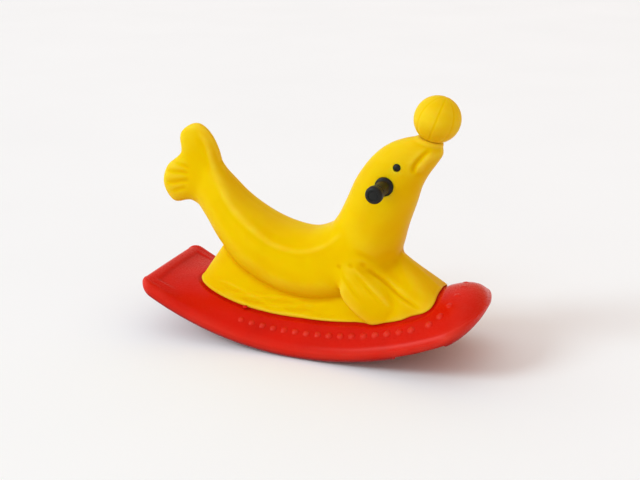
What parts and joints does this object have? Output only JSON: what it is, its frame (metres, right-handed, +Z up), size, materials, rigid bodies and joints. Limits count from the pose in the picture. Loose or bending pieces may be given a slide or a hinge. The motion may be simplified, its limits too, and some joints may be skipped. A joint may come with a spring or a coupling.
{
  "type": "rocking toy",
  "caption": "Child's floor rocker: a hollow moulded seal balancing a ball on its nose, with hand grips through the head, bolted to a curved rocker base with a foot deck.",
  "frame": {"origin": "on the floor, midway along and across the rocker base", "axes": "+X towards the head, +Y to the seal's left, +Z up"},
  "size_m": [0.85, 0.304, 0.6325],
  "materials": {
    "yellow_plastic": "satin blow-moulded polyethylene",
    "red_plastic": "satin blow-moulded polyethylene",
    "black_plastic": "injection-moulded, semi-matt",
    "zinc_steel": "bright zinc plated"
  },
  "bodies": {
    "rocker": {"rocker_base": "red_plastic", "seal_body": "yellow_plastic", "ball": "yellow_plastic", "ball_peg": "yellow_plastic", "eye_left": "black_plastic", "eye_right": "black_plastic", "base_bolts": "zinc_steel", "bolt_washers": "zinc_steel", "plinth_inserts": "zinc_steel", "sole_plugs": "black_plastic"},
    "handle": {"handle_bar": "zinc_steel", "grip_left": "black_plastic", "grip_right": "black_plastic", "grip_screws": "zinc_steel", "grip_cap_left": "black_plastic", "grip_cap_right": "black_plastic"}
  },
  "joints": [
    {"name": "handle_turn", "type": "hinge", "parent": "rocker", "child": "handle", "pos_m": [0.182, 0, 0.426], "axis": [0, 1, 0], "continuous": true}
  ]
}
